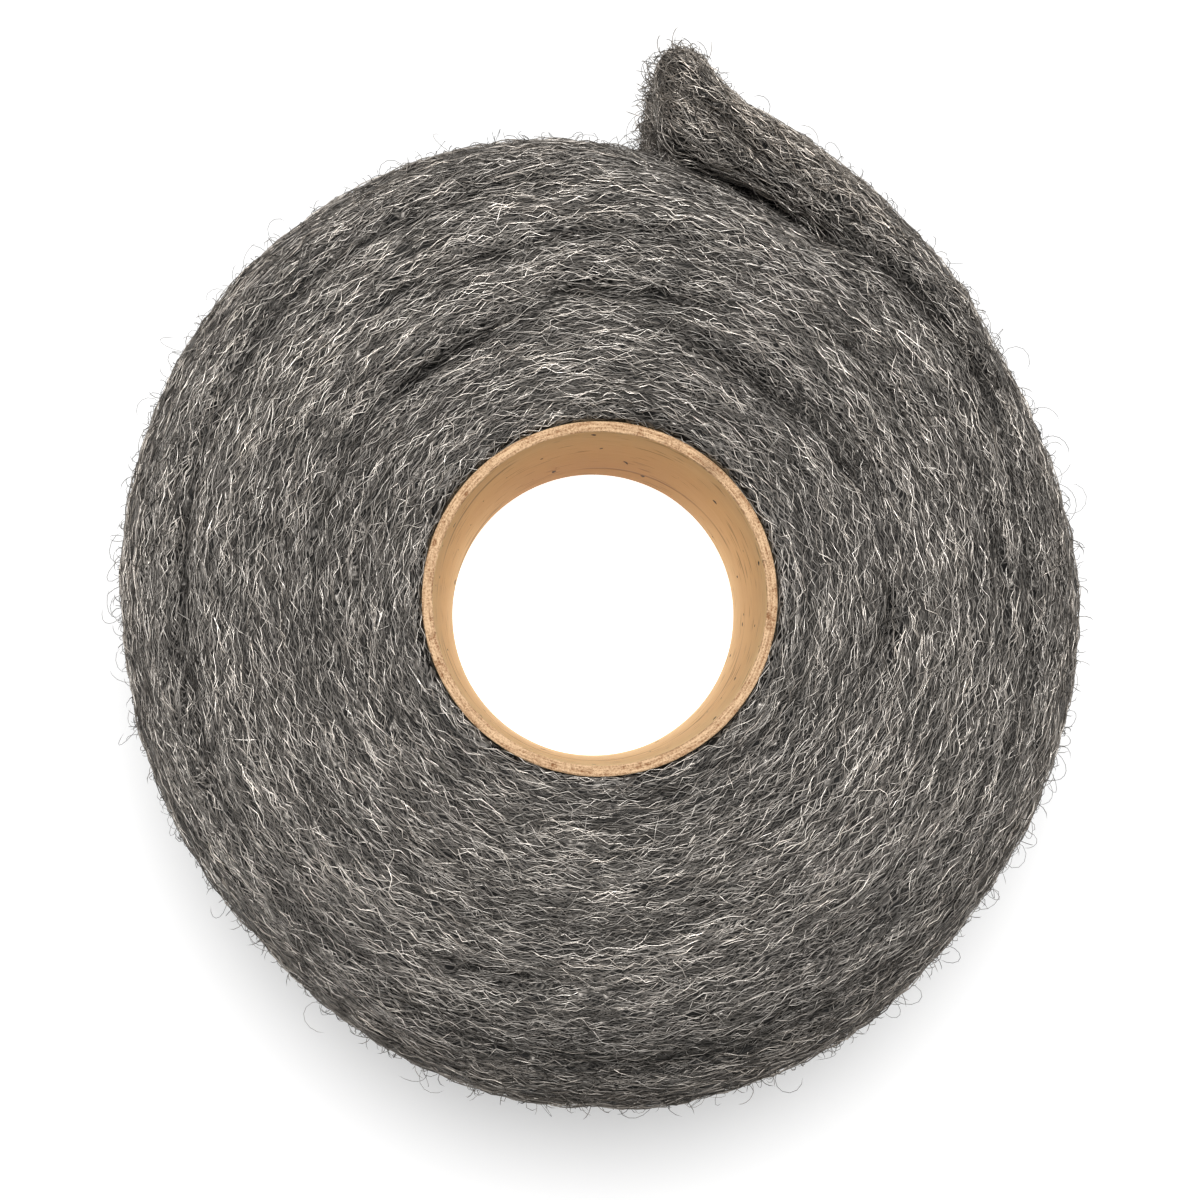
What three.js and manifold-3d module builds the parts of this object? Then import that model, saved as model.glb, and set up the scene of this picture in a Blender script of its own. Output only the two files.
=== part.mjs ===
// A roll of steel wool: one long ribbon wound on a cardboard tube, standing on its end.
// Millimetres, +Z up. The origin is the centre of the object's box, at the underside.
// The outline of the roll is worked out about the tube's own axis, then the whole group is centred.
import * as THREE from "three";
import { mergeVertices } from "three/addons/utils/BufferGeometryUtils.js";
import Module from "manifold-3d";

// The cardboard tube.
const RIBBON_WIDTH = 101.6; // a 4 inch ribbon, so the roll stands 4 inches tall
const TUBE_BORE = 76.2; // a 3 inch core
const TUBE_WALL = 2.5;
const TUBE_EDGE = 0.4; // softened edge at both ends
const TUBE_SIDES = 96;

// The wound wool.
const FIT_GAP = 0.3; // between the tube and the first turn
const LOOSE_END_ANGLE = 52; // where the last turn leaves the roll, degrees from +X
const OUTER_RADIUS = 118.4; // of the last turn where it leaves, before the roll's own lopsidedness
const TURNS = 8;
const TURN_CROWDING = 1.3; // above 1, turns are thinner towards the tube
const OFF_CENTRE = { x: -3.9, y: -2.3 }; // the wound wool is heavier on one side
const SQUASH = { cos: -2.2, sin: -2.5 }; // and slightly oval
const NIP = { angle: 68, width: 19, depth: 3.5 }; // dip in the turn beneath the loose end
const STEP_BLEND = 16; // degrees over which the step at the loose end is smoothed
const OUTLINE_POINTS = 96;
// What the real outline adds to the plain winding, in mm, by angle in degrees from +X.
const OUTLINE_TRIM = [
  { angle: 0, add: 1.8 },
  { angle: 20, add: 1.4 },
  { angle: 35, add: 0.6 },
  { angle: 60, add: 0.6 },
  { angle: 90, add: 1.7 },
  { angle: 120, add: 0.9 },
  { angle: 140, add: 1 },
  { angle: 160, add: 0.2 },
  { angle: 180, add: -1.4 },
  { angle: 200, add: -1.8 },
  { angle: 225, add: -2.4 },
  { angle: 240, add: -1.2 },
  { angle: 260, add: -0.4 },
  { angle: 280, add: -0.4 },
  { angle: 300, add: -1.2 },
  { angle: 320, add: -2.6 },
  { angle: 335, add: -1.2 },
  { angle: 350, add: 0.8 },
  { angle: 360, add: 1.8 },
];
const SHOULDER = 16; // rounding of the roll's outer edge, top and bottom
const SHOULDER_STEPS = 5;

// The spiral seam between the turns, seen on both end faces.
const SEAM_WIDTH = 3.2;
const SEAM_DEPTH = 3;
const SEAM_STEPS_PER_TURN = 36;
const SEAM_START_TURN = 1.02;
const SEAM_END_TURN = 6.3;

// The loose end: along = distance along the tangent where it leaves, out = distance from the tube's axis.
const LOOSE_END = [
  { along: -30, out: 82 },
  { along: 0, out: 94 },
  { along: 16, out: 97.5 },
  { along: 37, out: 95.3 },
  { along: 48, out: 91.6 },
  { along: 54, out: 89.6 },
  { along: 59.5, out: 92 },
  { along: 64, out: 98 },
  { along: 67.5, out: 105 },
  { along: 66.5, out: 110 },
  { along: 60, out: 112.8 },
  { along: 46, out: 112.8 },
  { along: 12, out: 111.8 },
  { along: -6, out: 110.2 },
  { along: -24, out: 106.5 },
  { along: -44, out: 96 },
];
const LOOSE_END_EDGE = 5; // rounding of the loose end's upper and lower edges
const LOOSE_END_EDGE_STEPS = 3;

const TUBE_RADIUS = TUBE_BORE / 2 + TUBE_WALL;
const radians = THREE.MathUtils.degToRad;

const wasm = await Module();
wasm.setup();

const kraft = new THREE.MeshStandardMaterial({ color: 0xc69a6d, roughness: 0.85, metalness: 0 });
const steelWool = new THREE.MeshStandardMaterial({ color: 0x6b6965, roughness: 0.55, metalness: 0.8 });

function toSolid(geometry) {
  const bare = geometry.clone();
  bare.deleteAttribute("normal");
  bare.deleteAttribute("uv");
  const merged = mergeVertices(bare, 1e-3);
  return new wasm.Manifold(
    new wasm.Mesh({
      numProp: 3,
      vertProperties: new Float32Array(merged.attributes.position.array),
      triVerts: new Uint32Array(merged.index.array),
    }),
  );
}

function toGeometry(solid) {
  const mesh = solid.getMesh();
  const geometry = new THREE.BufferGeometry();
  geometry.setAttribute("position", new THREE.BufferAttribute(mesh.vertProperties, 3));
  geometry.setIndex(new THREE.BufferAttribute(mesh.triVerts, 1));
  geometry.computeVertexNormals();
  return geometry;
}

function namedMesh(name, geometry, material) {
  const mesh = new THREE.Mesh(geometry, material);
  mesh.name = name;
  return mesh;
}

// A point at a radius and an angle in degrees from +X about the tube's axis.
function polar(radius, degrees) {
  return new THREE.Vector2(radius * Math.cos(radians(degrees)), radius * Math.sin(radians(degrees)));
}

// Radius of the winding after this many turns, counted clockwise from the loose end.
function windingRadius(turn) {
  const angle = radians(LOOSE_END_ANGLE - 360 * turn);
  const left = (1 - turn / TURNS) ** TURN_CROWDING;
  return (
    TUBE_RADIUS +
    left *
      (OUTER_RADIUS -
        TUBE_RADIUS +
        OFF_CENTRE.x * Math.cos(angle) +
        OFF_CENTRE.y * Math.sin(angle) +
        SQUASH.cos * Math.cos(2 * angle) +
        SQUASH.sin * Math.sin(2 * angle))
  );
}

function outlineTrim(degrees) {
  const at = THREE.MathUtils.euclideanModulo(degrees, 360);
  const next = OUTLINE_TRIM.findIndex((point) => point.angle > at);
  const [from, to] = [OUTLINE_TRIM[next - 1], OUTLINE_TRIM[next]];
  return THREE.MathUtils.mapLinear(at, from.angle, to.angle, from.add, to.add);
}

// Radius of the whole roll. The step where the loose end leaves is blended, because the loose
// end covers it, and the turn beneath the loose end is nipped in.
function rollRadius(degrees) {
  const past = THREE.MathUtils.euclideanModulo(degrees - LOOSE_END_ANGLE + 180, 360) - 180;
  const turn = THREE.MathUtils.euclideanModulo(-past, 360) / 360;
  const blend = THREE.MathUtils.smoothstep(past, -STEP_BLEND / 2, STEP_BLEND / 2);
  const radius =
    Math.abs(past) < STEP_BLEND / 2
      ? THREE.MathUtils.lerp(windingRadius(0), windingRadius(1), blend)
      : windingRadius(turn);
  const nip = NIP.depth * Math.exp(-(((degrees - NIP.angle) / NIP.width) ** 2));
  return radius + outlineTrim(degrees) - nip;
}

// An extrusion whose full outline is the given one and whose height is the ribbon's width.
function roundedSlab(outline, edge, steps) {
  const slab = new THREE.ExtrudeGeometry(new THREE.Shape(outline), {
    depth: RIBBON_WIDTH - 2 * edge,
    steps: 1,
    bevelEnabled: true,
    bevelThickness: edge,
    bevelSize: edge,
    bevelOffset: -edge,
    bevelSegments: steps,
  });
  slab.translate(0, 0, edge);
  return slab;
}

function cardboardTube() {
  const inner = TUBE_BORE / 2;
  const profile = [
    [inner + TUBE_EDGE, 0],
    [TUBE_RADIUS - TUBE_EDGE, 0],
    [TUBE_RADIUS, TUBE_EDGE],
    [TUBE_RADIUS, RIBBON_WIDTH - TUBE_EDGE],
    [TUBE_RADIUS - TUBE_EDGE, RIBBON_WIDTH],
    [inner + TUBE_EDGE, RIBBON_WIDTH],
    [inner, RIBBON_WIDTH - TUBE_EDGE],
    [inner, TUBE_EDGE],
    [inner + TUBE_EDGE, 0],
  ].map(([radius, height]) => new THREE.Vector2(radius, height));
  return new THREE.LatheGeometry(profile, TUBE_SIDES).rotateX(Math.PI / 2);
}

function woundTurns() {
  const outline = [];
  for (let i = 0; i < OUTLINE_POINTS; i++) {
    const degrees = (360 * i) / OUTLINE_POINTS;
    outline.push(polar(rollRadius(degrees), degrees));
  }
  return toSolid(roundedSlab(outline, SHOULDER, SHOULDER_STEPS));
}

function looseEnd() {
  const along = polar(1, LOOSE_END_ANGLE + 90);
  const out = polar(1, LOOSE_END_ANGLE);
  const outline = LOOSE_END.map((p) =>
    new THREE.Vector2().addScaledVector(along, p.along).addScaledVector(out, p.out),
  );
  return toSolid(roundedSlab(outline.reverse(), LOOSE_END_EDGE, LOOSE_END_EDGE_STEPS));
}

function tubeHole() {
  const hole = new THREE.CylinderGeometry(
    TUBE_RADIUS + FIT_GAP,
    TUBE_RADIUS + FIT_GAP,
    2 * RIBBON_WIDTH,
    TUBE_SIDES,
  );
  return toSolid(hole.rotateX(Math.PI / 2).translate(0, 0, RIBBON_WIDTH / 2));
}

// The V-shaped valley between neighbouring turns, swept along the spiral at one end face.
function spiralSeam(height) {
  const points = [];
  const steps = Math.round((SEAM_END_TURN - SEAM_START_TURN) * SEAM_STEPS_PER_TURN);
  for (let i = 0; i <= steps; i++) {
    const turn = SEAM_START_TURN + i / SEAM_STEPS_PER_TURN;
    const at = polar(windingRadius(turn), LOOSE_END_ANGLE - 360 * turn);
    points.push(new THREE.Vector3(at.x, at.y, height));
  }
  const valley = new THREE.Shape([
    new THREE.Vector2(SEAM_DEPTH, 0),
    new THREE.Vector2(0, SEAM_WIDTH / 2),
    new THREE.Vector2(-SEAM_DEPTH, 0),
    new THREE.Vector2(0, -SEAM_WIDTH / 2),
  ]);
  const path = new THREE.CatmullRomCurve3(points);
  return toSolid(new THREE.ExtrudeGeometry(valley, { steps, extrudePath: path, bevelEnabled: false }));
}

function steelWoolRoll() {
  const wool = woundTurns()
    .add(looseEnd())
    .subtract(tubeHole())
    .subtract(spiralSeam(RIBBON_WIDTH))
    .subtract(spiralSeam(0));
  return toGeometry(wool);
}

const roll = new THREE.Group();
roll.add(namedMesh("cardboard_core", cardboardTube(), kraft));
roll.add(namedMesh("steel_wool_roll", steelWoolRoll(), steelWool));

const box = new THREE.Box3().setFromObject(roll, true);
const middle = box.getCenter(new THREE.Vector3());
roll.position.set(-middle.x, -middle.y, -box.min.z);

export default roll;
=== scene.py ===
# A roll of steel wool ribbon on a cardboard tube, standing on its end on a pale bench.
# Metres, +Z up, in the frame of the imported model. Every finished piece keeps its object at the origin.
from math import atan2, cos, hypot, pi, radians, sin, tau

import bmesh
import bpy
import numpy as np
from mathutils import Matrix, Vector, noise
from mathutils.bvhtree import BVHTree


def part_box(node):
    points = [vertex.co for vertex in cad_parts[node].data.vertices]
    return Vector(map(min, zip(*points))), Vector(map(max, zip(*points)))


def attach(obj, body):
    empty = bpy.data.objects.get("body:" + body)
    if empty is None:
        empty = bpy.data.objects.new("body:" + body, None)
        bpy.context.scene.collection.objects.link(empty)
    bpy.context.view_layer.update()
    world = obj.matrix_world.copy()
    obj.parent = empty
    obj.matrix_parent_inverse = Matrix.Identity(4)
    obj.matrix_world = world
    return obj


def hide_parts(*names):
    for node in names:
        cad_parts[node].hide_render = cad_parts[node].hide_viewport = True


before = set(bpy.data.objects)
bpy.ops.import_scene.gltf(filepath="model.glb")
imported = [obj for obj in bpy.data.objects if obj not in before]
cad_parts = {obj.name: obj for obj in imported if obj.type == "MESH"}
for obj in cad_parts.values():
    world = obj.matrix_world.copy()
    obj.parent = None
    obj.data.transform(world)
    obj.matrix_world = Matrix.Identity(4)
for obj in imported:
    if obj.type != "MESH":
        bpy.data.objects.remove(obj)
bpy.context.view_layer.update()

MM = 0.001

# ---------------------------------------------------------------- sizes, from the frame
TUBE_LOW, TUBE_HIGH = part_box("cardboard_core")
AXIS = (TUBE_LOW + TUBE_HIGH) / 2
AXIS.z = 0
HEIGHT = TUBE_HIGH.z
TUBE_RADIUS = (TUBE_HIGH.x - TUBE_LOW.x) / 2
TUBE_WALL = 2.5 * MM
TUBE_BORE = TUBE_RADIUS - TUBE_WALL  # a radius, as TUBE_RADIUS is
TUBE_EDGE = 0.5 * MM
TUBE_SIDES = 192

# ---------------------------------------------------------------- how the ribbon is wound
LOOSE_END_ANGLE = 52.0  # where the last turn leaves the roll, degrees from +X
OUTER_RADIUS = 118.4 * MM  # of the last turn where it leaves, before the roll's own lopsidedness
TURNS = 8.0
TURN_CROWDING = 1.3  # above 1, turns are thinner towards the tube
OFF_CENTRE = (-3.9 * MM, -2.3 * MM)  # the wound wool is heavier on one side
SQUASH = (-2.2 * MM, -2.5 * MM)  # and slightly oval
NIP_ANGLE, NIP_WIDTH, NIP_DEPTH = 68.0, 19.0, 3.5 * MM  # dip in the turn beneath the loose end
STEP_BLEND = 16.0  # degrees over which the step at the loose end is smoothed
FIT_GAP = 0.3 * MM  # between the tube and the first turn
SHOULDER = 17 * MM  # rounding of the roll's outer edge, top and bottom
NOMINAL_RADIUS = 112 * MM  # of the plain ring that is drawn to the roll's outline
ROLL_SIDES = 240
SHOULDER_POINTS = 8

# What the real outline adds to the plain winding: (angle in degrees from +X, mm).
OUTLINE_TRIM = [
    (0, 1.8), (20, 1.4), (35, 0.6), (60, 0.6), (90, 1.7), (120, 0.9), (140, 1.0), (160, 0.6),
    (180, -0.9), (200, -1.4), (225, -2.4), (240, -1.2), (260, -0.4), (280, -0.4), (300, -1.2),
    (320, -2.6), (335, -1.2), (350, 0.8), (360, 1.8),
]

# The loose end's outline: distance along its own tangent, and distance out from the tube's axis, in mm.
LOOSE_END_OUTLINE = [
    (-30, 82), (0, 97), (16, 100.6), (36, 98.6), (45, 95.2), (50.5, 92.4), (55.5, 94), (60, 98.8),
    (64, 104), (66, 108.6), (65, 112.4), (60.8, 114), (54, 112.2), (46, 111.2), (36, 112.6),
    (24, 114), (10, 114), (-6, 112.2), (-24, 108.4), (-44, 97.5),
]
LOOSE_END_INNER = [(0, 100), (16, 100), (36, 97.8), (45, 94.4), (51, 91.4)]  # where it faces the roll
LOOSE_END_EDGE = 6 * MM
ALONG = Vector((-sin(radians(LOOSE_END_ANGLE)), cos(radians(LOOSE_END_ANGLE)), 0))
OUT = Vector((cos(radians(LOOSE_END_ANGLE)), sin(radians(LOOSE_END_ANGLE)), 0))

# Where neighbouring turns have parted on the upper end: runs of (angle in degrees, radius, depth in mm).
SEAMS = [
    [(20, 66, 0), (27, 64.3, 3.0), (35, 62.5, 2.0), (48, 61.3, 3.0), (60, 61.8, 3.2), (70, 63.5, 2.8),
     (78, 65, 0)],
    [(12, 70, 0), (25, 68.5, 1.8), (40, 67, 1.6), (55, 65, 0)],
    [(64, 72, 0), (74, 71, 3.0), (84, 70.5, 3.6), (94, 70.8, 3.4), (103, 71.5, 0)],
    [(96, 69.5, 0), (104, 67.2, 1.6), (112, 66, 3.4), (122, 65.5, 4.0), (131, 65.6, 3.6), (138, 66, 1.4),
     (165, 65.5, 1.4), (190, 67, 1.2), (210, 69, 0)],
    [(55, 84, 0), (68, 84.6, 1.4), (84, 84, 1.8), (98, 83, 2.2), (112, 82.6, 2.4), (124, 83.6, 2.6),
     (136, 84.4, 0)],
    [(22, 80.6, 0), (32, 80.8, 2.0), (46, 81.2, 2.2), (56, 82, 0)],
    [(-20, 93, 0), (-6, 92.4, 1.6), (6, 91.2, 2.4), (18, 90.5, 1.8), (34, 91.2, 1.2), (50, 92.8, 1.6),
     (64, 93.4, 0)],
    [(-24, 99.5, 0), (-8, 98.8, 1.6), (8, 98.2, 2.2), (22, 99.4, 2.0), (34, 101.6, 2.6), (42, 101.4, 2.8),
     (50, 100.8, 2.8), (60, 101.4, 3.0), (68, 103.2, 3.6), (72, 103.8, 4.6), (76, 104.8, 6.0),
     (80, 106, 7.0), (85, 108, 6.0), (90, 111, 0)],
    [(46, 103.8, 0), (56, 105.2, 2.0), (66, 107.4, 3.0), (72, 110.4, 3.4), (77, 115, 3.2), (81, 119, 2.0),
     (84, 122, 0)],
    [(92, 96.8, 0), (102, 97.5, 2.2), (118, 97.6, 1.6), (134, 98.2, 2.0), (148, 97.8, 1.8),
     (160, 96.6, 2.2), (172, 95.4, 2.6), (182, 94.2, 3.2), (192, 95.0, 2.6), (204, 96.2, 2.0),
     (218, 97, 1.6), (236, 98, 1.2), (250, 99, 0)],
    [(238, 89, 0), (248, 88.2, 2.4), (258, 87.6, 2.8), (268, 87.4, 0)],
    [(240, 101, 0), (250, 102.5, 1.8), (262, 104.6, 2.2), (276, 106, 2.0), (292, 106.4, 1.8),
     (308, 106, 1.8), (322, 105, 0)],
    [(286, 93.5, 0), (300, 94.2, 1.8), (316, 94.6, 1.8), (332, 94, 0)],
    [(318, 60, 0), (328, 61, 1.8), (340, 62.5, 1.0), (352, 65, 3.0), (358, 65.4, 2.6), (364, 66, 0)],
    [(255, 46, 0), (272, 46, 1.6), (290, 46.8, 1.4), (308, 48.4, 1.8), (326, 49.6, 1.6), (340, 51, 0)],
    [(196, 79, 0), (214, 78, 1.2), (236, 77.4, 1.2), (262, 76, 1.2), (284, 75.4, 1.4), (306, 76, 0)],
    [(140, 56, 0), (160, 55, 1.2), (186, 54.4, 1.2), (214, 53, 1.0), (236, 52, 0)],
    [(8, 52, 0), (26, 51.4, 1.4), (48, 51, 1.4), (72, 50.6, 1.2), (96, 50, 0)],
]
SEAM_HALF_WIDTH = 1.3  # mm
SOFT_HALF_WIDTH = 3.2 * SEAM_HALF_WIDTH  # of the dip around a seam
SEAM_WANDER = 0.9  # mm to either side
DARK_DEPTH = 3.4 * MM  # a seam this deep is painted in full shade
TURNED_BELOW = 140.0  # the lower end's seams are the upper end's, turned by this angle
SHALLOWER_BELOW = 0.6

# Relief of the wool, from broad ropes through locks to tufts: along the winding, across it, and how high.
ROPE_LONG, ROPE_WIDE, ROPE_HIGH = 30 * MM, 6 * MM, 0.8 * MM
LOCK_LONG, LOCK_WIDE, LOCK_HIGH = 14 * MM, 2.4 * MM, 0.45 * MM
TUFT_WIDE, TUFT_HIGH = 5 * MM, 0.25 * MM
PUFF = 0.6 * MM  # the ends' own fullness
HIGHEST = 1.6 * MM

# How much darker or brighter the wool is made on its patches, with painted shade on the near side's
# shoulder, and in streaks along the winding.
NEAR_SIDE_PAINTED_SHADE, CORE_DARKER, INNER_SIDE_DARKER, BAND_DARKER, PATCH_BRIGHTER = 0.42, 0.05, 0.12, 0.14, 0.08
STREAK_LONG, STREAK_SHORT = 45 * MM, 2.3 * MM
STREAK_CONTRAST = 0.2

VOXEL = 1.8 * MM  # of the wool body's skin
SIDES, RINGS = 3, 6  # of one fibre; its first and last rings are points
CRIMP, CRIMP_PITCH = (0.15, 0.65), (4.2, 7.5)  # of a laid fibre's waves, in radians and in mm
CROSSING = 0.07  # the part of the laid fibres that cross the others
BRIGHTNESS_SKEW = 1.3  # above 1, dull fibres outnumber bright ones
HAIRS_ABOVE = 8 * MM  # how far a free hair may stand over the upper end
RANDOM = np.random.default_rng(41)


def smoothstep(low, high, x):
    t = np.clip((x - low) / (high - low), 0, 1)
    return t * t * (3 - 2 * t)


def turned_from(centre, angle):
    """The turn from one angle to another, in degrees from -180 to 180."""
    return (angle - centre + 180) % 360 - 180


def hump(away, width):
    """1 where away is 0, falling smoothly to 0 on both sides over about this width."""
    return np.exp(-((away / width) ** 2))


def winding_reach(turn, angle):
    """How far from the tube the winding is after this many turns, at this angle in radians."""
    lopsided = (OUTER_RADIUS - TUBE_RADIUS + OFF_CENTRE[0] * np.cos(angle) + OFF_CENTRE[1] * np.sin(angle)
                + SQUASH[0] * np.cos(2 * angle) + SQUASH[1] * np.sin(2 * angle))
    return np.clip(1 - turn / TURNS, 0, 1) ** TURN_CROWDING * lopsided


def roll_radius(angle):
    """Radius of the wound roll at an angle in radians, without its loose end."""
    start = radians(LOOSE_END_ANGLE)
    past = turned_from(0, np.degrees(angle - start))
    turn = (-past % 360) / 360
    blend = smoothstep(-STEP_BLEND / 2, STEP_BLEND / 2, past)
    stepped = winding_reach(0, start) * (1 - blend) + winding_reach(1, start) * blend
    reach = np.where(abs(past) < STEP_BLEND / 2, stepped, winding_reach(turn, angle))
    nip = NIP_DEPTH * hump(turned_from(NIP_ANGLE, np.degrees(angle)), NIP_WIDTH)
    trim = np.interp(np.degrees(angle) % 360, *np.array(OUTLINE_TRIM).T) * MM
    return TUBE_RADIUS + reach - nip + trim


def parted(about, turned=0.0):
    """How far the turns have parted here, in metres: sharply at the seams, and softly around them."""
    angle = np.degrees(np.arctan2(about[:, 1], about[:, 0])) + turned
    radius = np.hypot(about[:, 0], about[:, 1]) / MM
    round_tube = np.stack([np.cos(np.radians(angle)), np.sin(np.radians(angle)), radius * 0.03], 1)
    wander = lumps(round_tube, 0.09, 9) * SEAM_WANDER
    sharp, soft = np.zeros(len(about)), np.zeros(len(about))
    for run in SEAMS:
        at, line, deep = np.array(run).T
        here = (angle - at[0]) % 360 + at[0]
        away = radius - np.interp(here, at, line) + wander
        depth = np.interp(here, at, deep, left=0, right=0)
        sharp = np.maximum(sharp, depth * hump(away, SEAM_HALF_WIDTH))
        soft = np.maximum(soft, depth * hump(away, SOFT_HALF_WIDTH))
    return sharp * MM, soft * MM


def painted_seam_shade(sharp, soft):
    """Painted shade down a seam, from 0 to 1."""
    return np.clip((sharp + 0.3 * soft) / DARK_DEPTH, 0, 1)


def across(about):
    """How far across the ribbon's lie a place is: out on top, down the side, then in underneath."""
    loose = in_loose_end(about)
    out = np.where(loose, about @ np.array(OUT), np.hypot(about[:, 0], about[:, 1]))
    edge = roll_radius(np.arctan2(about[:, 1], about[:, 0]))
    lower_half = smoothstep(0.6 * HEIGHT, 0.4 * HEIGHT, about[:, 2]) * ~loose
    return out + 2 * (edge - out) * lower_half - about[:, 2]


def streaks(about, long, short, seed):
    """Smooth noise from -1 to 1 in streaks that follow the winding."""
    return lumps(np.stack([about[:, 0] / long, about[:, 1] / long, across(about) / short], 1), 1.0, seed)


def shade(about):
    """How bright the wool is here, in degrees and mm: painted shade on the upper shoulder of the side
    away from the lamp, darker near the tube and in a band, brighter on one patch.
    """
    angle = np.degrees(np.arctan2(about[:, 1], about[:, 0]))
    radius = np.hypot(about[:, 0], about[:, 1]) / MM
    shoulder = smoothstep(80, 104, radius) * smoothstep(66, 88, about[:, 2] / MM)
    # Painted shade: the upper shoulder of the side away from the lamp is made darker.
    painted_shade_shoulder = hump(turned_from(278, angle), 52) * shoulder
    core = smoothstep(66, 46, radius)
    inner_side = hump(turned_from(300, angle), 90) * smoothstep(92, 60, radius)
    band = hump(turned_from(168, angle), 34) * hump(radius - 68, 8)
    brighter_patch = hump(turned_from(120, angle), 80) * hump(radius - 86, 14)
    dull = NEAR_SIDE_PAINTED_SHADE * painted_shade_shoulder + CORE_DARKER * core + INNER_SIDE_DARKER * inner_side + BAND_DARKER * band
    return 1 - dull + PATCH_BRIGHTER * brighter_patch


def streaky_shade(about):
    """The same, with streaks along the winding."""
    return shade(about) + STREAK_CONTRAST * streaks(about, STREAK_LONG, STREAK_SHORT, 7)


def lumps(points, size, seed):
    """Smooth noise from -1 to 1 whose lumps are about this size, which may differ along each axis."""
    scaled = points / size + seed * 7.31
    return np.array([noise.noise(p) for p in scaled.tolist()])


def unit(vectors):
    """Each vector at a length of 1."""
    return vectors / np.maximum(np.linalg.norm(vectors, axis=-1, keepdims=True), 1e-9)


def linked(name, mesh):
    piece = bpy.data.objects.new(name, mesh)
    bpy.context.scene.collection.objects.link(piece)
    return piece


def places(mesh):
    co = np.empty(len(mesh.vertices) * 3)
    mesh.vertices.foreach_get("co", co)
    return co.reshape(-1, 3)


def place(mesh, co):
    mesh.vertices.foreach_set("co", co.ravel())
    mesh.update()


def smooth(mesh):
    mesh.polygons.foreach_set("use_smooth", np.ones(len(mesh.polygons), bool))


def keep(mesh, label, values):
    """Stores one number for each point of a mesh, for its finish to read."""
    mesh.attributes.new(label, "FLOAT", "POINT").data.foreach_set("value", values)


# ---------------------------------------------------------------- the camera
def camera():
    """Straight above, a little to the lower left of the tube's axis."""
    top = AXIS + Vector((0, 0, HEIGHT))
    eye = Vector((-9.9 * MM, -23.4 * MM, 528 * MM))  # from the middle of the upper end
    aim = Vector((0, -0.4 * MM, 0))
    data = bpy.data.cameras.new("camera")
    data.sensor_width = 36
    data.lens = 69.6
    data.clip_start = 0.01
    seen = linked("camera", data)
    look = (aim - eye).normalized()
    right = look.cross(Vector((0, 1, 0))).normalized()
    turn = Matrix((right, right.cross(look), -look)).transposed()
    seen.matrix_world = Matrix.Translation(top + eye) @ turn.to_4x4()
    bpy.context.scene.camera = seen


# ---------------------------------------------------------------- the wool's body
def is_level(edge):
    return abs(edge.verts[0].co.z - edge.verts[1].co.z) < MM


def roll_blank(bm):
    """The wound turns: a rounded profile spun about the tube, then drawn to the roll's outline."""
    inner = TUBE_RADIUS + FIT_GAP
    arc = np.linspace(0, pi / 2, SHOULDER_POINTS)
    middle = NOMINAL_RADIUS - SHOULDER
    lower = [(middle + SHOULDER * sin(a), SHOULDER * (1 - cos(a))) for a in arc]
    upper = [(radius, HEIGHT - height) for radius, height in reversed(lower)]
    profile = [(inner, 0), *lower, *upper, (inner, HEIGHT)]
    ring = [bm.verts.new((radius, 0, height)) for radius, height in profile]
    edges = [bm.edges.new((ring[i], ring[i - 1])) for i in range(len(ring))]
    bmesh.ops.spin(bm, geom=ring + edges, cent=(0, 0, 0), axis=(0, 0, 1), angle=tau, steps=ROLL_SIDES,
                   use_merge=True)
    for v in bm.verts:
        angle, radius = atan2(v.co.y, v.co.x), hypot(v.co.x, v.co.y)
        out = (radius - inner) / (NOMINAL_RADIUS - inner)
        drawn = inner + out * (float(roll_radius(angle)) - inner)
        v.co.x, v.co.y = drawn * cos(angle), drawn * sin(angle)


def loose_end_blank(bm):
    """The ribbon's last hand's breadth, standing off the roll."""
    outline = [bm.verts.new((ALONG * along + OUT * out) * MM) for along, out in LOOSE_END_OUTLINE]
    base = bm.faces.new(outline)
    raised = bmesh.ops.extrude_face_region(bm, geom=[base])["geom"]
    top = [v for v in raised if isinstance(v, bmesh.types.BMVert)]
    bmesh.ops.translate(bm, verts=top, vec=(0, 0, HEIGHT))
    rims = [e for e in bm.edges if is_level(e)]
    bmesh.ops.bevel(bm, geom=rims, offset=LOOSE_END_EDGE, segments=5, profile=0.5,
                    affect="EDGES", material=-1)


def wool_blank():
    """Both blanks melted into one closed skin."""
    blanks = []
    for make_blank in (roll_blank, loose_end_blank):
        bm = bmesh.new()
        make_blank(bm)
        bmesh.ops.recalc_face_normals(bm, faces=bm.faces)
        bmesh.ops.triangulate(bm, faces=bm.faces)
        mesh = bpy.data.meshes.new("blank")
        bm.to_mesh(mesh)
        bm.free()
        blanks.append(mesh)
    bm = bmesh.new()
    for mesh in blanks:
        bm.from_mesh(mesh)
        bpy.data.meshes.remove(mesh)
    mesh = bpy.data.meshes.new("blank")
    bm.to_mesh(mesh)
    bm.free()
    blank = linked("blank", mesh)
    melt = blank.modifiers.new("melt", "REMESH")
    melt.mode = "VOXEL"
    melt.voxel_size = VOXEL
    depsgraph = bpy.context.evaluated_depsgraph_get()
    melted = bpy.data.meshes.new_from_object(blank.evaluated_get(depsgraph))
    bpy.data.objects.remove(blank)
    bpy.data.meshes.remove(mesh)
    return melted


def in_loose_end(co):
    """True for the points that are on the ribbon's loose end, from points about the tube's axis."""
    along, out = co @ np.array(ALONG), co @ np.array(OUT)
    beyond = np.hypot(co[:, 0], co[:, 1]) > roll_radius(np.arctan2(co[:, 1], co[:, 0])) - 1.5 * MM
    inner = np.interp(along / MM, *np.array(LOOSE_END_INNER).T) * MM
    return (along > 6 * MM) & (out > inner) & (beyond | (out > inner + 4 * MM))


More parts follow.
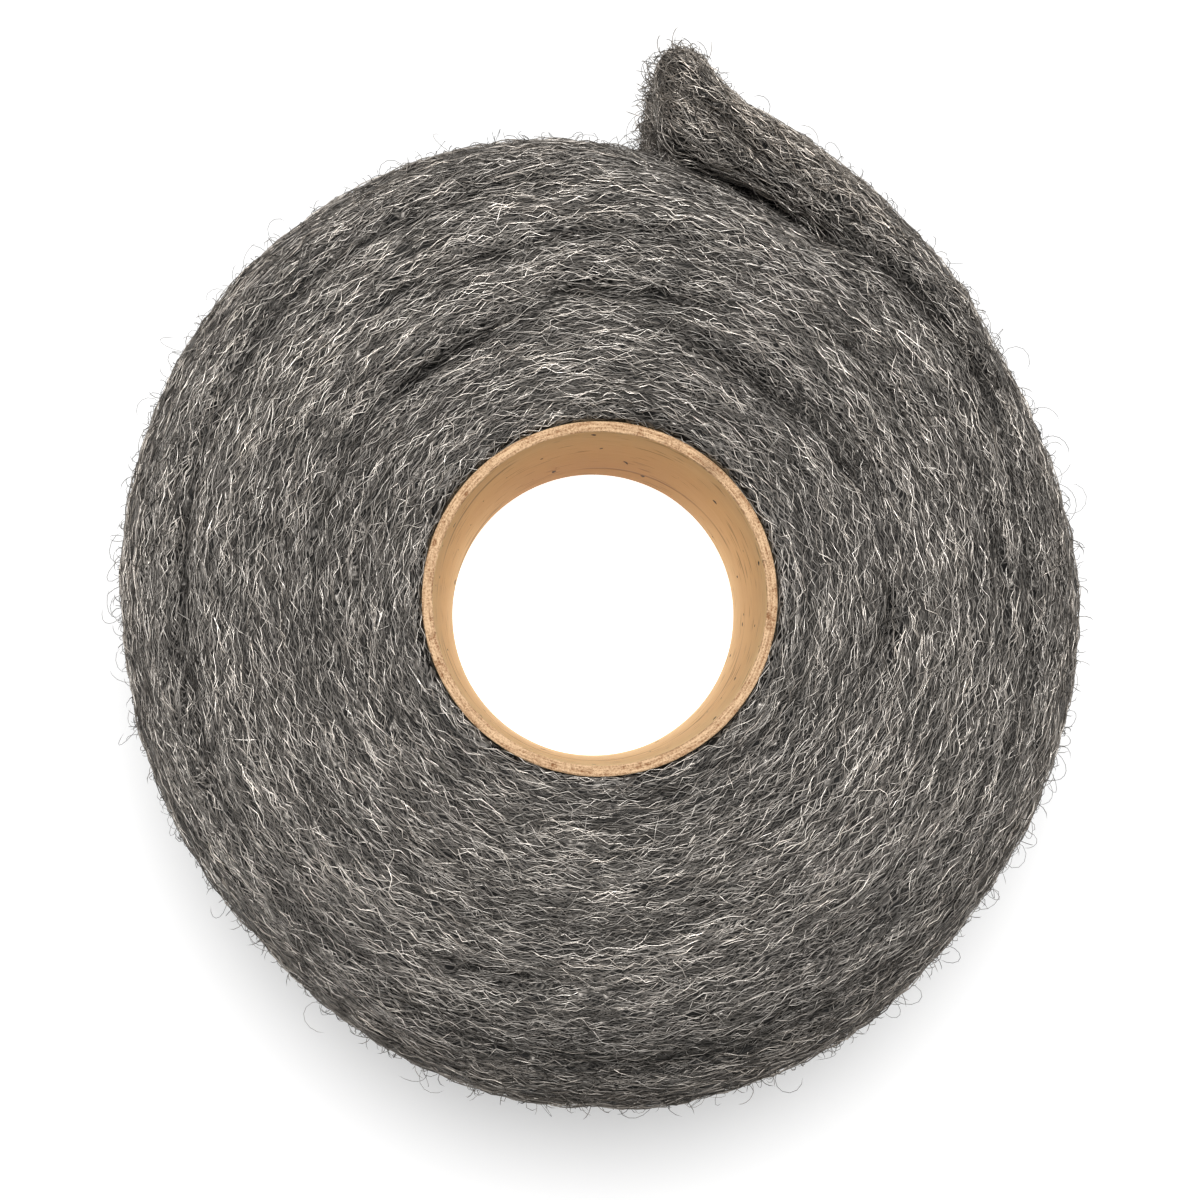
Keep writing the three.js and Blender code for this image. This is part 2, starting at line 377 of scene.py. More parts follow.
def sculpt(co, normal):
    """The skin's points moved into puffed turns, parted seams and lumps, and the seams' painted shade at
    each one.
    """
    on_end = smoothstep(0.35, 0.95, abs(normal[:, 2]))
    upper = normal[:, 2] > 0
    radius = np.hypot(co[:, 0], co[:, 1])
    free = smoothstep(0.5 * MM, 5 * MM, radius - TUBE_RADIUS)  # held where it meets the tube
    frayed = smoothstep(46 * MM, 64 * MM, co @ np.array(ALONG)) * in_loose_end(co)
    sharp, soft = parted(co)
    sharp_below, soft_below = parted(co, TURNED_BELOW)
    sharp = np.where(upper, sharp, sharp_below * SHALLOWER_BELOW)
    soft = np.where(upper, soft, soft_below * SHALLOWER_BELOW)
    ropes = streaks(co, ROPE_LONG, ROPE_WIDE, 1)
    locks = streaks(co, LOCK_LONG, LOCK_WIDE, 2)
    tufts = lumps(co, TUFT_WIDE, 3)
    rise = ropes * ROPE_HIGH + locks * LOCK_HIGH + tufts * TUFT_HIGH + PUFF
    rise = np.minimum(rise - 0.8 * sharp - 0.45 * soft, HIGHEST) * free
    rise = np.where(upper, rise, np.minimum(rise, 0))
    puff = (ropes * 0.8 + locks * 0.5 + tufts * (0.35 + 1.2 * frayed)) * MM
    co = co.copy()
    co[:, 2] += np.where(upper, 1, -1) * rise * on_end
    co += normal * (puff * (1 - on_end) * free)[:, None]
    co[:, 2] = np.clip(co[:, 2], 0.1 * MM, None)
    return co, painted_seam_shade(sharp, soft)


def wool_body():
    mesh = wool_blank()
    bm = bmesh.new()
    bm.from_mesh(mesh)
    bmesh.ops.smooth_vert(bm, verts=bm.verts, factor=0.5,
                          use_axis_x=True, use_axis_y=True, use_axis_z=True)
    bm.normal_update()
    bm.to_mesh(mesh)
    bm.free()
    normal = np.empty(len(mesh.vertices) * 3)
    mesh.vertices.foreach_get("normal", normal)
    plain = places(mesh)
    co, dark = sculpt(plain, normal.reshape(-1, 3))
    place(mesh, co + np.array(AXIS))
    smooth(mesh)
    # The seams' painted shade, kept as depth for the mat's finish.
    keep(mesh, "depth", dark)
    keep(mesh, "shade", streaky_shade(plain))
    keep(mesh, "across", across(plain) + plain[:, 2])
    return linked("wool_body", mesh)


# ---------------------------------------------------------------- fibres
class Skin:
    """The wool body's surface, for laying fibres on."""

    def __init__(self, mesh):
        mesh.calc_loop_triangles()
        self.co = places(mesh)
        corners = np.empty(len(mesh.loop_triangles) * 3, np.int32)
        mesh.loop_triangles.foreach_get("vertices", corners)
        self.corners = corners.reshape(-1, 3)
        a, b, c = (self.co[self.corners[:, i]] for i in range(3))
        cross = np.cross(b - a, c - a)
        length = np.linalg.norm(cross, axis=1)
        self.area = length / 2
        self.normal = cross / np.maximum(length, 1e-12)[:, None]
        self.middle = (a + b + c) / 3 - np.array(AXIS)
        self.loose = in_loose_end(self.middle)
        self.radius = np.hypot(self.middle[:, 0], self.middle[:, 1])
        self.hidden = (self.radius < TUBE_RADIUS + 0.8 * MM) & (abs(self.normal[:, 2]) < 0.5)
        self.tree = BVHTree.FromPolygons(self.co.tolist(), self.corners.tolist())

    def scatter(self, count, weight):
        """Points spread evenly over the skin by area times weight, each at random in its own share."""
        share = np.cumsum(self.area * weight * ~self.hidden)
        chosen = np.searchsorted(share, (np.arange(count) + RANDOM.random(count)) / count * share[-1])
        u, v = RANDOM.random((2, count, 1))
        over = u + v > 1
        u, v = np.where(over, 1 - u, u), np.where(over, 1 - v, v)
        a, b, c = (self.co[self.corners[chosen, i]] for i in range(3))
        return a + u * (b - a) + v * (c - a), self.normal[chosen]

    def settle(self, points):
        """The nearest points of the skin, and its normals there."""
        found = [self.tree.find_nearest(p)[:2] for p in points.tolist()]
        return np.array([f[0] for f in found]), np.array([f[1] for f in found])


def lie(points, normal):
    """Which way the ribbon runs here, laid flat on the skin."""
    about = points - np.array(AXIS)
    round_tube = np.stack([-about[:, 1], about[:, 0], np.zeros(len(about))], 1)
    way = np.where(in_loose_end(about)[:, None], np.array(ALONG), round_tube)
    way = way - normal * (way * normal).sum(1)[:, None]
    length = np.linalg.norm(way, axis=1)
    upright = np.cross(normal, np.array((0.3, 0.2, 1.0)))
    on_cut_face = (length < 0.2 * np.linalg.norm(about, axis=1)) & in_loose_end(about)
    way = np.where(on_cut_face[:, None], upright, way)
    return unit(way)


def comb(skin, start, normal, length, swing):
    """Walks each fibre over the skin in equal steps, waving about its own swing off the ribbon's way."""
    points, normals = [start], [normal]
    count = len(start)
    crimp = RANDOM.uniform(*CRIMP, count)
    phase = RANDOM.uniform(0, tau, count)
    pitch = RANDOM.uniform(*CRIMP_PITCH, count) * MM
    step = length / (RINGS - 1)
    for i in range(RINGS - 1):
        here, up = points[-1], normals[-1]
        way = lie(here, up)
        sideways = np.cross(up, way)
        heading = swing + crimp * np.cos(phase + tau * i * step / pitch) + RANDOM.normal(0, 0.12, count)
        move = np.cos(heading)[:, None] * way + np.sin(heading)[:, None] * sideways
        there, up = skin.settle(here + move * step[:, None])
        points.append(there)
        normals.append(up)
    return np.stack(points, 1), np.stack(normals, 1)


def curl(start, way, axis, length, turned, rings):
    """Free hairs: each goes off its way and turns steadily about its axis by its own angle in all."""
    points = [start]
    step = (length / (rings - 1))[:, None]
    angle = (turned / (rings - 1))[:, None]
    for _ in range(rings - 1):
        points.append(points[-1] + way * step)
        way = way * np.cos(angle) + np.cross(axis, way) * np.sin(angle)
    return np.stack(points, 1)


def fibre_template(rings):
    """One closed three-sided fibre with pointed ends: its rings stand at z = 0, 1, 2 and so on."""
    bm = bmesh.new()
    layer = bm.loops.layers.uv.new("OFBake")
    bmesh.ops.create_circle(bm, segments=SIDES, radius=1)
    bmesh.ops.translate(bm, verts=bm.verts, vec=(0, 0, 1))
    first = edges = list(bm.edges)
    for _ in range(rings - 3):
        grown = bmesh.ops.extrude_edge_only(bm, edges=edges)["geom"]
        ring = [g for g in grown if isinstance(g, bmesh.types.BMVert)]
        bmesh.ops.translate(bm, verts=ring, vec=(0, 0, 1))
        edges = [g for g in grown if isinstance(g, bmesh.types.BMEdge) and g.is_boundary]
    for rim, height in ((first, 0), (edges, rings - 1)):
        grown = bmesh.ops.extrude_edge_only(bm, edges=rim)["geom"]
        tip = [g for g in grown if isinstance(g, bmesh.types.BMVert)]
        bmesh.ops.pointmerge(bm, verts=tip, merge_co=(0, 0, height))
    bmesh.ops.recalc_face_normals(bm, faces=bm.faces)
    for face in bm.faces:
        ringed = [l for l in face.loops if l.vert.co.xy.length > 0.5]
        turn = {l: atan2(l.vert.co.y, l.vert.co.x) / tau % 1 for l in ringed}
        for loop in ringed:
            turn[loop] += 1 if max(turn.values()) - turn[loop] > 0.5 else 0
        for loop in face.loops:
            part = turn.get(loop, sum(turn.values()) / len(turn))
            loop[layer].uv = (loop.vert.co.z / (rings - 1), part * 0.75)
    return bm


def fibres(name, paths, normals, width, sheen, tarnish):
    """One mesh of all these fibres: the template, repeated, with each copy bent to its own path."""
    count, rings = paths.shape[:2]
    bm = fibre_template(rings)
    points_each, faces_each = len(bm.verts), len(bm.faces)
    have = 1
    while have < count:
        more = min(have, count - have)
        bm.faces.ensure_lookup_table()
        bmesh.ops.duplicate(bm, geom=bm.faces[: more * faces_each])
        have += more
    mesh = bpy.data.meshes.new(name)
    bm.to_mesh(mesh)
    bm.free()
    co = places(mesh)
    strand = np.arange(len(co)) // points_each
    ring = co[:, 2].round().astype(int)
    tangent = unit(np.gradient(paths, axis=1))
    side = unit(np.cross(tangent, normals))
    lift = np.cross(side, tangent)
    spread = co[:, :1] * side[strand, ring] + co[:, 1:2] * lift[strand, ring]
    co = paths[strand, ring] + width[strand, None] / 2 * spread
    co[:, 2] = np.maximum(co[:, 2], 0.05 * MM)
    place(mesh, co)
    smooth(mesh)
    # sheen holds each fibre's brightness, with painted shade on the laid fibres.
    keep(mesh, "sheen", sheen[strand])
    keep(mesh, "tarnish", tarnish[strand])
    spread_on_map(mesh, count)
    return linked(name, mesh)


def spread_on_map(mesh, count):
    """Gives each fibre its own cell of the OFBake map."""
    uv = np.empty(len(mesh.loops) * 2)
    layer = mesh.uv_layers["OFBake"]
    layer.uv.foreach_get("vector", uv)
    uv = uv.reshape(-1, 2)
    strand = np.arange(len(uv)) // (len(uv) // count)
    cells = int(np.ceil(count ** 0.5))  # along each side of the map
    margin = 0.08
    cell = np.stack([strand % cells, strand // cells], 1)
    layer.uv.foreach_set("vector", ((cell + margin + uv * (1 - 2 * margin)) / cells).ravel())


def brightness(about, up, low, high):
    """Each fibre's own brightness, in streaks, with painted shade on the near side's shoulder and down in
    the seams.
    """
    count = len(about)
    sharp, soft = parted(about)
    # Painted shade: fibres on the upper end are made darker down in the seams.
    deep = np.where(up > 0.3, painted_seam_shade(sharp, soft), 0)
    own = low + (high - low) * RANDOM.random(count) ** BRIGHTNESS_SKEW
    streaky = streaky_shade(about) + 0.16 * streaks(about, 16 * MM, 1.1 * MM, 8)
    return np.clip(own * streaky * (1 - 0.7 * deep), 0.02, 1)


def browned(about):
    """How brown each fibre is: the outermost wool and the loose end have dulled the most."""
    outer = smoothstep(100 * MM, 116 * MM, np.hypot(about[:, 0], about[:, 1]))
    own = RANDOM.normal(0, 0.2, len(about))
    return np.clip(0.15 + outer * 0.4 + in_loose_end(about) * 0.12 + own, 0, 1)


def laid_fibres(name, skin, count, weight, width, length, lift, swing, sheen):
    """Fibres that lie on the skin: their middles stand off it by lift and their ends dip into it."""
    start, normal = skin.scatter(count, weight)
    lengths = RANDOM.uniform(*length, count) * MM
    swings = RANDOM.normal(0, swing, count)
    swings = np.where(RANDOM.random(count) < CROSSING, RANDOM.uniform(-1.2, 1.2, count), swings)
    swings += pi * (RANDOM.random(count) < 0.5)
    paths, normals = comb(skin, start, normal, lengths, swings)
    along = np.arange(RINGS) / (RINGS - 1)
    height = RANDOM.uniform(*lift, count)[:, None] * MM
    unevenness = RANDOM.normal(0, 0.06 * MM, (count, RINGS))
    rise = -0.15 * MM + height * np.sin(pi * along)[None, :] + unevenness
    paths = paths + normals * rise[:, :, None]
    about = start - np.array(AXIS)
    bright = brightness(about, normal[:, 2], *sheen)
    return fibres(name, paths, normals, RANDOM.uniform(*width, count) * MM, bright, browned(about))


def free_hairs(name, skin, count, weight, width, length, stand, turned, rings, sheen, lean=None):
    """Hairs that stand off the skin and curl over. They lean along the ribbon, or the way given."""
    start, normal = skin.scatter(count, weight)
    way = lie(start, normal) * RANDOM.choice((-1, 1), (count, 1))
    if lean is not None:
        way = np.broadcast_to(np.array(lean), way.shape)
    aside = RANDOM.normal(0, 0.45, (count, 3))
    angle = RANDOM.uniform(*stand, count)[:, None]
    way = unit(way * np.cos(angle) + normal * np.sin(angle) + aside)
    axis = unit(np.cross(way, RANDOM.normal(0, 1, (count, 3)) - normal))
    lengths = RANDOM.uniform(*length, count) * MM
    paths = curl(start - normal * 0.3 * MM, way, axis, lengths, RANDOM.uniform(*turned, count), rings)
    rise = paths[:, :, 2] - start[:, 2:]
    room = HEIGHT + HAIRS_ABOVE - start[:, 2]
    pressed = np.minimum(1, room / np.maximum(rise.max(1), MM))[:, None]
    paths[:, :, 2] = start[:, 2:] + rise * np.where(rise > 0, pressed, 1)
    frames = np.broadcast_to(axis[:, None, :], paths.shape)
    about = start - np.array(AXIS)
    bright = sheen[0] + (sheen[1] - sheen[0]) * RANDOM.random(count)
    return fibres(name, paths, frames, RANDOM.uniform(*width, count) * MM, bright, browned(about))


# ---------------------------------------------------------------- the cardboard tube
def cardboard_tube():
    """A spirally wound chipboard tube with a soft cut edge at each end."""
    low, high = TUBE_LOW.z, TUBE_HIGH.z
    bm = bmesh.new()
    corners = [(TUBE_BORE, low), (TUBE_RADIUS, low), (TUBE_RADIUS, high), (TUBE_BORE, high)]
    ring = [bm.verts.new((radius, 0, height)) for radius, height in corners]
    edges = [bm.edges.new((ring[i], ring[(i + 1) % 4])) for i in range(4)]
    bmesh.ops.spin(bm, geom=ring + edges, cent=(0, 0, 0), axis=(0, 0, 1), angle=tau, steps=TUBE_SIDES,
                   use_merge=True)
    bmesh.ops.recalc_face_normals(bm, faces=bm.faces)
    rims = [e for e in bm.edges if is_level(e)
            and abs(hypot(*e.verts[0].co.xy) - hypot(*e.verts[1].co.xy)) < 0.1 * MM]
    bmesh.ops.bevel(bm, geom=rims, offset=TUBE_EDGE, segments=3, profile=0.5,
                    affect="EDGES", material=-1)
    standing = [e for e in bm.edges if abs(e.verts[0].co.z - e.verts[1].co.z) > HEIGHT / 2]
    bmesh.ops.subdivide_edges(bm, edges=standing, cuts=8)
    mesh = bpy.data.meshes.new("cardboard_tube")
    bm.to_mesh(mesh)
    bm.free()
    co = places(mesh)
    ragged = smoothstep(2 * MM, 0, np.minimum(co[:, 2] - low, high - co[:, 2]))
    co[:, 2] -= np.sign(co[:, 2] - HEIGHT / 2) * ragged * (0.12 + 0.12 * lumps(co, 3 * MM, 8)) * MM
    inward = co[:, :2] / np.hypot(co[:, 0], co[:, 1])[:, None]
    co[:, :2] += inward * (0.05 * MM * lumps(co, 9 * MM, 9))[:, None]
    place(mesh, co + np.array(AXIS))
    smooth(mesh)
    return linked("cardboard_tube", mesh)


# ---------------------------------------------------------------- finishes
class Value:
    """A number in a finish's node tree. Arithmetic on it adds Math nodes."""

    def __init__(self, finish, socket):
        self.finish, self.socket = finish, socket

    def math(self, operation, other=0.0, flip=False, clamp=False):
        first, second = (other, self) if flip else (self, other)
        return self.finish.node("ShaderNodeMath", {"operation": operation, "use_clamp": clamp},
                                {0: first, 1: second})

    def __add__(self, other):
        return self.math("ADD", other)

    def __radd__(self, other):
        return self.math("ADD", other)

    def __sub__(self, other):
        return self.math("SUBTRACT", other)

    def __rsub__(self, other):
        return self.math("SUBTRACT", other, flip=True)

    def __mul__(self, other):
        return self.math("MULTIPLY", other)

    def __rmul__(self, other):
        return self.math("MULTIPLY", other)

    def __truediv__(self, other):
        return self.math("DIVIDE", other)

    def __pow__(self, other):
        return self.math("POWER", other)

    def __abs__(self):
        return self.math("ABSOLUTE")

    def __mod__(self, other):
        return self.math("FLOORED_MODULO", other)

    def clamped(self):
        return self.math("ADD", 0.0, clamp=True)

    def at_least(self, other):
        return self.math("MAXIMUM", other)

    def between(self, low, high):
        """0 below low and 1 above high, smooth between."""
        return self.finish.node("ShaderNodeMapRange", {"interpolation_type": "SMOOTHSTEP"},
                                {"Value": self, "From Min": low, "From Max": high})


class Finish:
    """A material, with its Principled shader and what the patterns need."""

    def __init__(self, name, **even):
        self.material = bpy.data.materials.new(name)
        self.material.use_nodes = True
        self.tree = self.material.node_tree
        self.shader = self.tree.nodes["Principled BSDF"]
        for socket, value in even.items():
            self.shader.inputs[socket.replace("_", " ")].default_value = value

    def node(self, kind, settings=None, inputs=None, output=0):
        """Adds a node with its settings, gives its sockets values or links, and returns one output."""
        made = self.tree.nodes.new(kind)
        for name, value in (settings or {}).items():
            setattr(made, name, value)
        for name, value in (inputs or {}).items():
            self.feed(made.inputs[name], value)
        return Value(self, made.outputs[output])

    def feed(self, socket, value):
        if isinstance(value, Value):
            self.tree.links.new(value.socket, socket)
        else:
            socket.default_value = value

    def surface(self, name, value):
        self.feed(self.shader.inputs[name], value)

    def whereabouts(self):
        """Object coordinates about the tube's axis, as a vector and as three numbers."""
        at = self.node("ShaderNodeTexCoord", output="Object")
        at = self.node("ShaderNodeMapping", {}, {"Vector": at, "Location": -AXIS})
        parts = self.node("ShaderNodeSeparateXYZ", {}, {0: at})
        return at, [Value(self, parts.socket.node.outputs[i]) for i in range(3)]

    def attribute(self, name):
        return self.node("ShaderNodeAttribute", {"attribute_name": name}, output="Fac")

    def vector(self, x, y, z):
        return self.node("ShaderNodeCombineXYZ", {}, {0: x, 1: y, 2: z})

    def noise(self, at, scale=1.0, detail=2.0, rough=0.5, seed=None):
        """Noise from 0 to 1. Its lumps are about 1 / scale of a metre across."""
        settings = {"noise_dimensions": "3D" if seed is None else "4D"}
        inputs = {"Vector": at, "Scale": scale, "Detail": detail, "Roughness": rough}
        if seed is not None:
            inputs["W"] = seed
        return self.node("ShaderNodeTexNoise", settings, inputs, "Fac")

    def mix(self, mask, low, high):
        """A colour that goes from low to high as mask goes from 0 to 1."""
        return self.node("ShaderNodeMix", {"data_type": "RGBA"}, {0: mask, 6: low, 7: high}, 2)

    def bump(self, height, strength, distance):
        return self.node("ShaderNodeBump", {},
                         {"Height": height, "Strength": strength, "Distance": distance})


def grey(level, warm=0.0):
    """A grey whose red is raised and blue lowered a little as warm goes from 0 to 1."""
    return (level * (1 + 0.09 * warm), level, level * (1 - 0.10 * warm), 1)


STRAND_LENGTH = 1 / 90  # metres


def wool_finish():
    """The mat between the laid fibres: long fine fibres that wander along the winding, over near-black
    gaps painted as the shade between fibres.
    """
    f = Finish("steel_wool_mat", Metallic=0.75)
    at, (x, y, z) = f.whereabouts()
    crosswise = f.attribute("across") - z

    def strands(pitch, wave, seed):
        """Lines a pitch apart that swing sideways in waves this long, and fade in and out."""
        waves = f.vector(x / wave, y / wave, crosswise / (2 * wave))
        swing = f.noise(waves, 1.0, 0.0, seed=seed) - 0.5
        row = (crosswise + swing * wave) / pitch
        line = (1 - abs(row % 1.0 - 0.5) * 5.0).clamped()
        along_row = f.vector(x / STRAND_LENGTH, y / STRAND_LENGTH, (row - row % 1.0) * 3.7)
        return line * f.noise(along_row, 1.0, 0.0, seed=seed + 0.5).between(0.36, 0.62)

    tangle = strands(0.85 * MM, 4.2 * MM, 3.0)
    tangle = tangle.at_least(strands(0.70 * MM, 5.5 * MM, 11.0))
    tangle = tangle.at_least(strands(1.00 * MM, 3.2 * MM, 27.0) * 0.8)
    tangle = tangle.at_least(strands(0.60 * MM, 7.0 * MM, 41.0) * 0.6)
    # The seams' painted shade dims the lines and darkens the gaps.
    open_to_light = 1 - f.attribute("depth") * 0.85
    lit = (tangle * open_to_light * f.attribute("shade")).clamped()
    # Painted shade: the gaps between the lines are near black, and darker still down the seams.
    gaps = f.mix(open_to_light, grey(0.002, 0.9), grey(0.006, 0.9))
    f.surface("Base Color", f.mix(lit, gaps, grey(0.46, 0.9)))
    f.surface("Roughness", 0.62 - tangle * 0.20)
    f.surface("Normal", f.bump(tangle, 0.6, 0.0004))
    return f.material


def fibre_finish():
    """One bright steel fibre after another, a few of them dull or browned, and some darkened by the
    painted shade carried in their sheen.
    """
    f = Finish("steel_fibre", Metallic=0.8)
    at, _ = f.whereabouts()
    sheen, tarnish = f.attribute("sheen"), f.attribute("tarnish")
    streak = f.noise(at, 900.0, 2.0)
    level = (sheen * (streak * 0.7 + 0.65)).clamped()
    clean = f.mix(level, grey(0.02, 0.8), grey(0.86, 0.8))
    brown = f.mix(level, (0.030, 0.022, 0.015, 1), (0.76, 0.64, 0.52, 1))
    f.surface("Base Color", f.mix(tarnish * 0.6, clean, brown))
    f.surface("Roughness", 0.50 - level * 0.15)
    return f.material


# Kraft chipboard's colours, two of them painted shade on its wall.
WALL_TAN = ((0.72, 0.48, 0.22, 1), (1.0, 0.80, 0.48, 1))  # from its darker to its paler grain
# Painted shade deep in the bore, towards the floor.
SHADED_LOW_TAN = (0.40, 0.23, 0.09, 1)
# Painted shade on the +Y side of the wall.
SHADED_SIDE_TAN = (0.34, 0.165, 0.04, 1)
EDGE_FUZZ = ((0.26, 0.115, 0.042, 1), (0.78, 0.53, 0.315, 1))  # from its hollows, darker partly by painted shade in the dents, to its torn fibres
SCRAPE_BROWN = (0.22, 0.115, 0.045, 1)
PIT_SHADE = (0.03, 0.015, 0.008, 1)
SEAM_BROWN = (0.17, 0.085, 0.035, 1)
PLY_RISE = 75 * MM  # of the plies' helix in one turn


def cardboard_finish():
    """Tan kraft chipboard: the helical seam of its plies, grain, scrapes, pits and a rough cut edge, with
    painted shade low in the bore, on the +Y side of the wall, in the pits and in the cut edge's dents.
    """
    f = Finish("kraft_chipboard", Metallic=0.0)
    at, (x, y, z) = f.whereabouts()
    radius = (x * x + y * y) ** 0.5
    angle = y.math("ARCTAN2", x)

    def drawn(flat, tall, detail, rough=0.5, seed=None):
        """Noise with this many lumps in a metre round the tube and up it."""
        return f.noise(f.vector(x * flat, y * flat, z * tall), 1.0, detail, rough, seed)

    grain = drawn(110, 420, 3.0, 0.65)
    cloud = f.noise(at, 45.0, 2.0)
    scrape = drawn(130, 380, 1.0, seed=7.0).between(0.60, 0.72)
    pit = drawn(420, 130, 0.0, seed=9.0).between(0.77, 0.80)
    broken = drawn(40, 40, 1.0, seed=2.0).between(0.40, 0.56)
    ply = abs((angle / tau + z / PLY_RISE) % 1.0 - 0.5)
    seam = (1 - ply.between(0.006, 0.034)) * broken

    facing = f.node("ShaderNodeNewGeometry", output="Normal")
    rim = abs(f.node("ShaderNodeSeparateXYZ", {}, {0: facing}, 2)).between(0.25, 0.50)
    wall = 1 - rim
    crumb = f.noise(at, 2100.0, 2.0, 0.7)
    torn = f.noise(f.vector(x * 170, y * 170, radius * 2400), 1.0, 2.0, 0.6)
    dent = f.noise(at, 420.0, 1.0, seed=5.0).between(0.56, 0.70)

    tan = f.mix(cloud * 0.4 + grain * 0.6, *WALL_TAN)
    # Painted shade: the wall is made darker towards the floor, deep in the bore.
    painted_shade_low = 1 - z.between(0.0, 0.75 * HEIGHT)
    tan = f.mix(painted_shade_low * 0.30, tan, SHADED_LOW_TAN)
    # Painted shade: the +Y wall, which faces away from the lamp inside the bore, is made darker, most of
    # all deep down.
    painted_shade_y_side = y.between(0.30 * TUBE_RADIUS, 1.1 * TUBE_RADIUS)
    tan = f.mix(painted_shade_y_side * (0.96 - z.between(0.0, HEIGHT) * 0.66), tan, SHADED_SIDE_TAN)
    # The cut edge's own crumbly tones, with its dents made darker as painted shade.
    fuzz = ((crumb - 0.5) * 2.2 + (torn - 0.5) * 2.0 + 0.62 - dent * 0.35).clamped()
    colour = f.mix(rim, tan, f.mix(fuzz, *EDGE_FUZZ))
    colour = f.mix(scrape * wall * 0.55, colour, SCRAPE_BROWN)
    # Painted shade: the small pits are painted near black.
    colour = f.mix(pit * wall, colour, PIT_SHADE)
    colour = f.mix(seam * 0.6, colour, SEAM_BROWN)
    f.surface("Base Color", colour)
    f.surface("Roughness", 0.78 + grain * 0.15)
    relief = grain * 0.5 + (crumb + torn - dent * 0.6) * rim - seam - scrape * 0.6 - pit
    f.surface("Normal", f.bump(relief, 0.8, 0.0004))
    return f.material


# ---------------------------------------------------------------- floor and light
FLOOR_HALF_SIDE = 40
ROOM_LIGHT = 0.36
KEY_WIDTH, KEY_POWER = 0.74, 30
KEY_PLACE = Vector((0.02, 0.42, 1.75))  # from the tube's axis at the floor


def floor():
    """A pale floor that glows a little all over, and far brighter under the tube's bore as painted light.
    """
    bm = bmesh.new()
    bmesh.ops.create_grid(bm, x_segments=1, y_segments=1, size=FLOOR_HALF_SIDE)
    mesh = bpy.data.meshes.new("floor")
    bm.to_mesh(mesh)
    bm.free()
    f = Finish("pale_floor", Roughness=0.7, Emission_Strength=1.0)
    at, (x, y, _) = f.whereabouts()
    # Painted light: the floor glows much more under the bore, so it shows white down the tube.
    glow_under_bore = 1 - ((x * x + y * y) ** 0.5).between(0.9 * TUBE_RADIUS, 1.4 * TUBE_RADIUS)
    f.surface("Emission Color", f.mix(glow_under_bore, grey(0.33), grey(0.98)))
    f.surface("Base Color", f.mix(f.noise(at, 3.0), grey(0.66), grey(0.68)))
    mesh.materials.append(f.material)
    linked("floor", mesh)


def lights():
    """Soft light from all round, and one broad lamp high on the loose end's side."""
    world = bpy.data.worlds.new("studio")
    world.use_nodes = True
    world.node_tree.nodes["Background"].inputs["Color"].default_value = (1, 1, 1, 1)
    world.node_tree.nodes["Background"].inputs["Strength"].default_value = ROOM_LIGHT
    bpy.context.scene.world = world
    key = bpy.data.lights.new("key", "AREA")
    key.shape = "DISK"
    key.size = KEY_WIDTH
    key.energy = KEY_POWER
    lamp = linked("key", key)
    at = AXIS + KEY_PLACE
    aim = (AXIS + Vector((0, 0, HEIGHT)) - at).to_track_quat("-Z", "Y")
    lamp.matrix_world = Matrix.Translation(at) @ aim.to_matrix().to_4x4()
    bpy.context.scene.view_settings.view_transform = "Standard"


# ---------------------------------------------------------------- the object
def dress(piece, material, slot, *nodes):
    """Gives a piece its finish, hangs it on the root body and hides the model's nodes it stands for; slot
    is not used.
    """
    piece.data.materials.clear()
    piece.data.materials.append(material)
    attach(piece, "root")
    if nodes:
        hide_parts(*nodes)


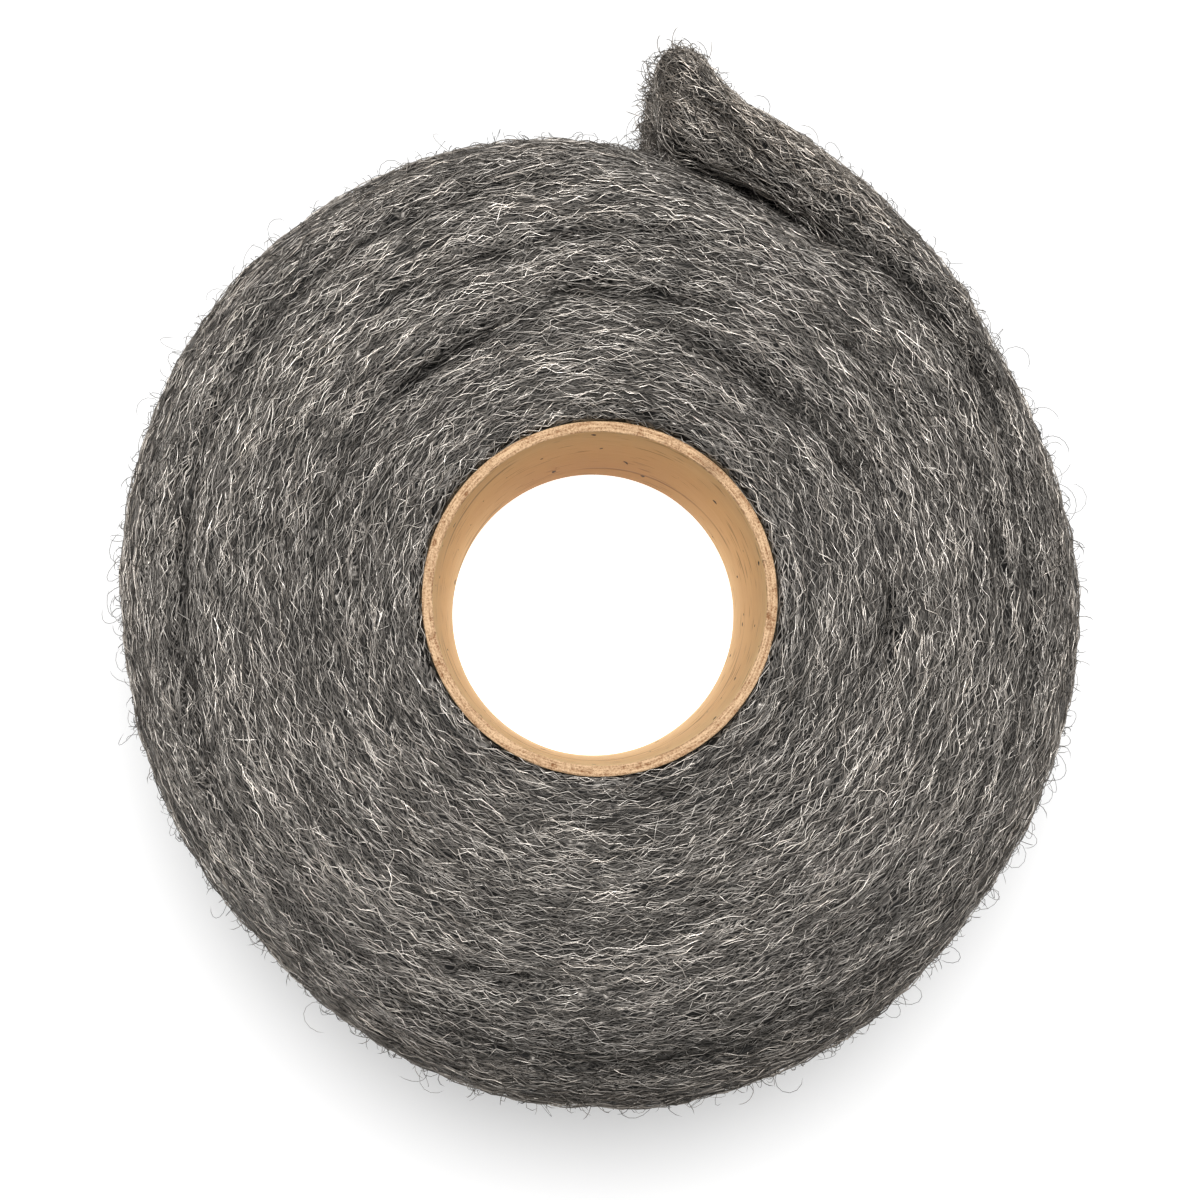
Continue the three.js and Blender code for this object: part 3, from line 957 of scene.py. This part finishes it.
def lay_fibres(skin, steel):
    """Fibres over the whole skin: name, count, where, width, length, lift, swing and brightness."""
    facing = skin.normal[:, 2]
    upward = smoothstep(0.35, 0.75, facing) * ~skin.loose
    sideways = (1 - smoothstep(0.35, 0.75, abs(facing))) * ~skin.loose
    downward = smoothstep(0.35, 0.75, -facing) * ~skin.loose
    loose = skin.loose * (0.4 + 0.8 * smoothstep(-0.2, 0.6, facing))
    layers = [
        ("wool_fibres_deep", 8300, upward, (0.22, 0.32), (7, 15), (0.1, 0.6), 0.15, (0.04, 0.66)),
        ("wool_fibres_top", 8300, upward, (0.20, 0.30), (7, 15), (0.4, 1.2), 0.18, (0.14, 1.0)),
        ("wool_fibres_side", 6600, sideways, (0.26, 0.40), (9, 18), (0.3, 1.1), 0.20, (0.12, 0.85)),
        ("wool_fibres_under", 1800, downward, (0.26, 0.40), (9, 18), (0.1, 0.5), 0.20, (0.2, 0.8)),
        ("wool_fibres_loose_end", 3400, loose, (0.20, 0.32), (7, 15), (0.3, 1.4), 0.24, (0.22, 0.95)),
    ]
    for name, *how in layers:
        dress(laid_fibres(name, skin, *how), steel, "steel_wool_roll")


def grow_hairs(skin, steel):
    """Free hairs: name, count, where, width, length, stand, turn, rings, brightness and lean."""
    facing, height = skin.normal[:, 2], skin.middle[:, 2]
    upward = smoothstep(0.35, 0.75, facing) * ~skin.loose
    sideways = (1 - smoothstep(0.35, 0.75, abs(facing))) * ~skin.loose
    shoulder = smoothstep(68 * MM, 84 * MM, height) * smoothstep(96 * MM, 102 * MM, skin.radius)
    brow = (sideways + upward) * shoulder + 0.08 * sideways
    tail = skin.loose * smoothstep(10 * MM, 60 * MM, height)
    to_tip = smoothstep(44 * MM, 60 * MM, skin.middle @ np.array(ALONG))
    tip = skin.loose * to_tip * (0.25 + smoothstep(10 * MM, 80 * MM, height))
    straying, fringed = brow + 0.8 * tail, brow + 1.2 * tail
    dull, bright = (0.02, 0.3), (0.05, 0.6)
    hairs = [
        ("wool_stray_hairs", 1000, straying, (0.10, 0.15), (6, 16), (0.1, 0.8), (2.2, 5.6), 9, dull),
        ("wool_fringe", 5200, fringed, (0.12, 0.20), (2.4, 6.0), (0.4, 1.4), (1.2, 4.2), 5, dull),
        ("wool_cut_end", 1100, tip, (0.15, 0.25), (3, 8), (0.3, 1.4), (0.8, 4.8), 7, bright, ALONG),
    ]
    for name, *how in hairs:
        dress(free_hairs(name, skin, *how), steel, "steel_wool_roll")


def build():
    camera()
    floor()
    lights()
    dress(cardboard_tube(), cardboard_finish(), "cardboard_core", "cardboard_core")
    body = wool_body()
    dress(body, wool_finish(), "steel_wool_roll", "steel_wool_roll")
    skin = Skin(body.data)
    steel = fibre_finish()
    lay_fibres(skin, steel)
    grow_hairs(skin, steel)


build()
